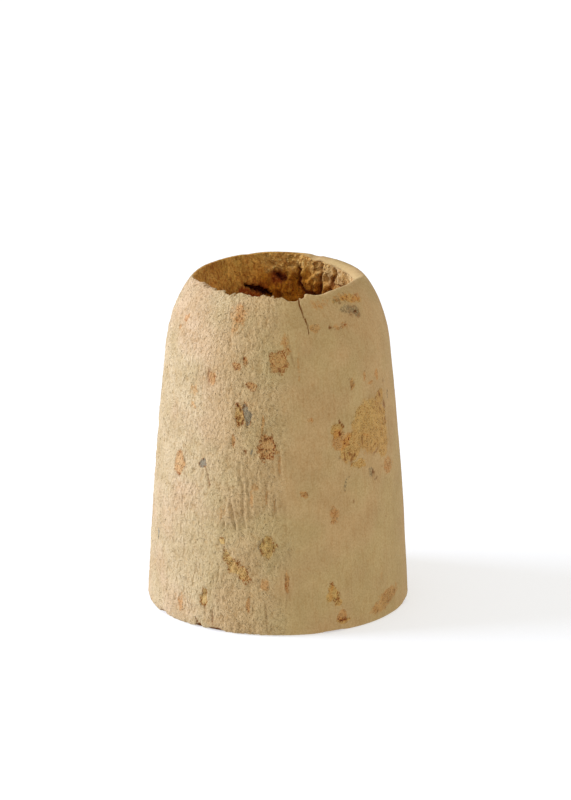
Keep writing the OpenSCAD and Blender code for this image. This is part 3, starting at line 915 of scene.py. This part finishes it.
class Cork(Nodes):
    """Natural cork: tan where it was cut smooth, cream on the weathered strip, brown in the hollow. Painted
    light makes the weathered strip paler and bluer towards the key lamp, and painted shade darkens the pits,
    the recesses and the deep hollow.
    """

    def __init__(self):
        super().__init__("cork")
        self.fine = self.noise(0.28, 3)
        self.grit = self.noise(0.26, 1, stretch=(1, 1, 1.3))
        self.speck = self.noise(0.5, 3, rough=0.65)
        self.blotch = self.noise(1.3, 3)
        self.streak = self.noise(0.5, 3, stretch=(1, 1, 7))
        self.patchy = self.noise(2.4, 3, stretch=(1, 1, 1.6))
        self.crumb = self.grains(0.55)
        self.dots = self.span(self.crumb, 0.42, 0.22)
        self.pits = self.span(self.noise(0.40, 2, stretch=(1, 1, 1.5)), 0.46, 0.32)

        colour = self.rusted_and_shaded(self.hollowed(self.stained(self.bare())))
        self.join(colour, self.shader.inputs["Base Color"])
        self.join(self.span(self.speck, 0.3, 0.7, 0.80, 0.95), self.shader.inputs["Roughness"])
        self.join(self.surface(), self.shader.inputs["Normal"])
        self.shader.inputs["Specular IOR Level"].default_value = 0.15
        self.shader.inputs["Sheen Weight"].default_value = 0.04
        self.shader.inputs["Sheen Roughness"].default_value = 0.6

    def bare(self):
        """The unstained outside, with its clouds, streaks, pits and grit, painted light over the weathered
        strip, and painted shade in the pits and low places.
        """
        cloud, mottle = self.noise(11.0, 2), self.span(self.noise(5.0, 3), 0.35, 0.65)
        tan = self.blend(mottle, (0.437, 0.297, 0.134), (0.479, 0.329, 0.152))
        cream = self.blend(mottle, (0.505, 0.352, 0.192), (0.575, 0.412, 0.245))
        return self.tinted(
            # Cream on the paler stretch towards the key lamp: partly the strip's own colour, partly painted
            # light.
            self.blend("pale_and_lit", tan, cream),
            (self.span(cloud, 0.42, 0.62), 0.8, (0.95, 1.0, 0.95)),
            (self.span(cloud, 0.50, 0.36), 0.8, (1.01, 0.975, 0.96)),
            # Paler and bluer over the weathered strip, the side the key lamp lights: partly its own colour,
            # partly painted light.
            ("rough", 1.0, (1.16, 1.22, 1.31)),
            (self.span(self.streak, 0.50, 0.38), self.span("rough", 0, 1, 0.35, 0.10), (0.88, 0.78, 0.66)),
            # Painted shade: darker where the relief is low and in the pits, the low places of the bump.
            (self.span("relief", 0.5, 0.1), 0.45, (0.84, 0.72, 0.56)),
            (self.pits, self.span("rough", 0, 1, 0.10, 0.40), (0.84, 0.74, 0.58)),
            (self.span(self.grit, 0.52, 0.34), 0.6, (0.88, 0.83, 0.75)),
            (self.span(self.grit, 0.50, 0.66), 0.8, (1.08, 1.09, 1.12)),
            (self.span(self.speck, 0.56, 0.72), 0.35, (0.86, 0.70, 0.52)),
        )

    def ragged(self, name, spread):
        """Where the attribute is, with its edge broken up by noise."""
        broken = self.maths("SUBTRACT", self.blend(0.5, self.speck, self.blotch), 0.5)
        edge = self.maths("ADD", name, self.times(broken, 1.9))
        return self.span(edge, 0.5 - spread, 0.5 + spread)

    def stained(self, colour):
        """The pink, ochre and grey marks, with their spots, and the brown edge of the deeper ones."""
        colour = self.tinted(
            colour,
            (self.ragged("pink", 0.28), 0.85, (1.05, 0.82, 0.60)),
            (self.ragged("ochre", 0.24), 0.85, (1.13, 1.0, 0.68)),
        )
        grey = self.blend(self.span("rough", 0.2, 0.8), (0.50, 0.54, 0.58), (0.46, 0.55, 0.74))
        greyed = self.tinted(colour, (self.ragged("grey", 0.22), 0.95, grey))
        gaps = self.times(self.span(self.grit, 0.46, 0.56, 0.1, 0.75), self.span("rough", 0, 1, 1, 0.35))
        dark_grit = self.span(self.grit, 0.54, 0.64)
        in_ochre, in_pink = self.span("ochre", 0.25, 0.65), self.span("pink", 0.25, 0.65)
        outline = self.times(self.span("outline", 0.2, 0.8), self.span(self.grit, 0.44, 0.56))
        return self.tinted(
            self.blend(gaps, greyed, colour),
            (self.times(dark_grit, self.span(self.blotch, 0.40, 0.56), in_ochre), 0.9, (0.58, 0.42, 0.20)),
            (self.times(self.dots, in_ochre), 0.35, (1.25, 1.18, 1.0)),
            (self.times(dark_grit, self.span(self.blotch, 0.42, 0.56), in_pink), 0.9, (0.62, 0.40, 0.22)),
            (self.times(self.dots, in_pink), 0.30, (1.18, 1.12, 1.05)),
            (self.times(outline, self.span(self.blotch, 0.38, 0.50)), 0.9, (0.55, 0.33, 0.17)),
        )

    def hollowed(self, colour):
        """The hollow's browner wall, darker with depth as painted shade, its fresh broken side, paler partly
        as its own colour and partly as painted light, and the crumbs below the rim at the back.
        """
        colour = self.blend("hollow", colour, (1.26, 1.06, 0.53), "MULTIPLY")
        # Fresh side: partly its own paler colour, partly painted light.
        colour = self.blend("fresh_and_lit", colour, (0.765, 0.570, 0.280))
        # Painted shade: darker and browner deeper in the hollow.
        colour = self.tinted(colour, ("wall", 0.95, (0.88, 0.62, 0.15)))
        fibre = self.noise(0.36, 2, stretch=(1, 1, 2.2))
        for pattern, start, end, strength, tint in (
            (fibre, 0.52, 0.36, 0.8, (0.72, 0.54, 0.32)),
            (fibre, 0.52, 0.68, 0.75, (1.26, 1.22, 1.15)),
            (self.patchy, 0.50, 0.64, 0.8, (1.14, 1.06, 1.10)),
            (self.patchy, 0.50, 0.36, 0.8, (0.84, 0.74, 0.58)),
            (self.blotch, 0.48, 0.64, 0.6, (0.74, 0.58, 0.40)),
            (self.streak, 0.50, 0.36, 0.6, (0.82, 0.74, 0.64)),
            # Painted shade: darker where the wall is cut back deepest, in the gouges' valleys.
            ("relief", 0.55, 0.1, 0.55, (0.66, 0.46, 0.28)),
        ):
            here = self.times("hollow", self.span(pattern, start, end))
            colour = self.tinted(colour, (here, strength, tint))
        crumbs = self.times("crumbly", self.span(self.patchy, 0.36, 0.52))
        colour = self.blend(self.times(crumbs, 0.75), colour, (0.83, 0.51, 0.15))
        colour = self.blend(self.times(crumbs, self.dots, 0.7), colour, (0.92, 0.65, 0.25))
        # Painted shade in the gaps between the crumbs.
        between = self.times(crumbs, self.span(self.crumb, 0.46, 0.66))
        return self.tinted(colour, (between, 0.55, (0.50, 0.30, 0.12)))

    def rusted_and_shaded(self, colour):
        """The rust in the hollow, and the dark of every crack, slot, chip and hole: the cracks and strokes
        are dark marks, and the dark of the dimples, furrows, chips, clefts, splits and slot is painted shade.
        """
        dull = self.times("rust", self.span(self.speck, 0.36, 0.6, 0.6, 1))
        colour = self.blend(dull, colour, (0.29, 0.052, 0.004))
        bright = self.times("rust", self.span(self.grit, 0.58, 0.66), 0.6)
        colour = self.blend(bright, colour, (0.60, 0.22, 0.04))
        ragged = self.times(self.maths("SUBTRACT", self.fine, 0.5), 0.4)
        # dark: the dark strokes and cracks, and painted shade in the dimples, furrows, chips, clefts, splits
        # and slot.
        dark = self.span(self.maths("ADD", "dark", ragged), 0.08, 0.95)
        return self.blend(dark, colour, (0.36, 0.15, 0.0), "MULTIPLY")

    def surface(self):
        """The normal, from two bumps: uneven cork with grains on it, and a finer roughness over both."""
        granular = self.span(self.maths("MAXIMUM", "ochre", "pink", "crumbly"), 0.3, 0.7)
        grained = self.times(self.span(self.crumb, 0.6, 0.1), granular)
        plaster = self.maths("SUBTRACT", self.noise(0.62, 3, stretch=(1, 1, 1.25), rough=0.6), 0.5)
        uneven = self.maths("ADD", self.times(plaster, 2.8), self.times(self.pits, -0.5))
        worn = self.maths("MAXIMUM", self.span("rough", 0, 1, 0.06, 1.0), self.times("hollow", 0.7))
        coarse = self.bump(self.maths("ADD", self.times(uneven, worn), grained), 1.0, 0.20)
        small = self.maths("ADD", self.maths("SUBTRACT", self.fine, 0.9), self.times(self.grit, 0.8))
        finer = self.bump(self.times(small, self.span(worn, 0, 1, 1, 2.2)), 0.9, 0.09)
        self.join(coarse.outputs["Normal"], finer.inputs["Normal"])
        return finer.outputs["Normal"]


# ---- Floor, lights and camera

def plain_material(name, colour, glow):
    made = bpy.data.materials.new(name)
    made.use_nodes = True
    shader = made.node_tree.nodes["Principled BSDF"]
    shader.inputs["Base Color"].default_value = (*colour, 1)
    shader.inputs["Roughness"].default_value = 0.9
    shader.inputs["Emission Color"].default_value = (1, 1, 1, 1)
    shader.inputs["Emission Strength"].default_value = glow
    return made


def build_floor():
    data = bpy.data.meshes.new("floor")
    half = 6.0                                   # metres
    corners = [(-half, -half, 0), (half, -half, 0), (half, half, 0), (-half, half, 0)]
    data.from_pydata(corners, [], [(0, 1, 2, 3)])
    floor = bpy.data.objects.new("floor", data)
    bpy.context.scene.collection.objects.link(floor)
    floor.data.materials.append(plain_material("pale_floor", (0.50, 0.53, 0.57), 0.52))


def aim(obj, spot, target):
    obj.location = spot
    obj.rotation_euler = (Vector(target) - Vector(spot)).to_track_quat("-Z", "Y").to_euler()


def area_light(name, angle, elevation, distance, size, watts, colour):
    """A soft square light aimed at the stopper. The angle runs from the front towards +X."""
    data = bpy.data.lights.new(name, "AREA")
    data.size, data.energy, data.color = size, watts, colour
    light = bpy.data.objects.new(name, data)
    bpy.context.scene.collection.objects.link(light)
    a, e = math.radians(angle), math.radians(elevation)
    middle = Vector((0, 0, high.z / 2))
    way = Vector((math.cos(e) * math.sin(a), -math.cos(e) * math.cos(a), math.sin(e)))
    aim(light, middle + distance * way, middle)


def build_lights():
    area_light("key_left", -92, 30, 0.9, 0.4, 8.4, (0.80, 0.85, 1.0))
    area_light("fill_right", 80, 20, 0.9, 0.6, 0.7, (1.0, 0.96, 0.90))
    world = bpy.data.worlds.new("studio")
    bpy.context.scene.world = world
    world.use_nodes = True
    back = world.node_tree.nodes["Background"]
    back.inputs["Color"].default_value = (1.0, 0.94, 0.86, 1)
    back.inputs["Strength"].default_value = 0.72


def build_camera():
    """A long lens from the front, looking down at the stopper."""
    data = bpy.data.cameras.new("camera")
    data.sensor_fit = "VERTICAL"
    data.sensor_height = 36
    data.lens = 263
    data.clip_end = 20                          # metres
    camera = bpy.data.objects.new("camera", data)
    bpy.context.scene.collection.objects.link(camera)
    elevation, distance = math.radians(17.5), 1.0
    middle = Vector((0, 0, 30 * MM))
    sideways, upwards = 1.26 * MM, 4.64 * MM     # from it to the picture's middle
    up = Vector((0, math.sin(elevation), math.cos(elevation)))
    target = middle + Vector((sideways, 0, 0)) + upwards * up
    back = Vector((0, -math.cos(elevation), math.sin(elevation)))
    aim(camera, target + distance * back, target)
    bpy.context.scene.camera = camera


body = build_cork()
body.data.materials.append(Cork().material)
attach(body, "root")
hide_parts("stopper")

build_floor()
build_lights()
build_camera()
bpy.context.scene.view_settings.view_transform = "Standard"
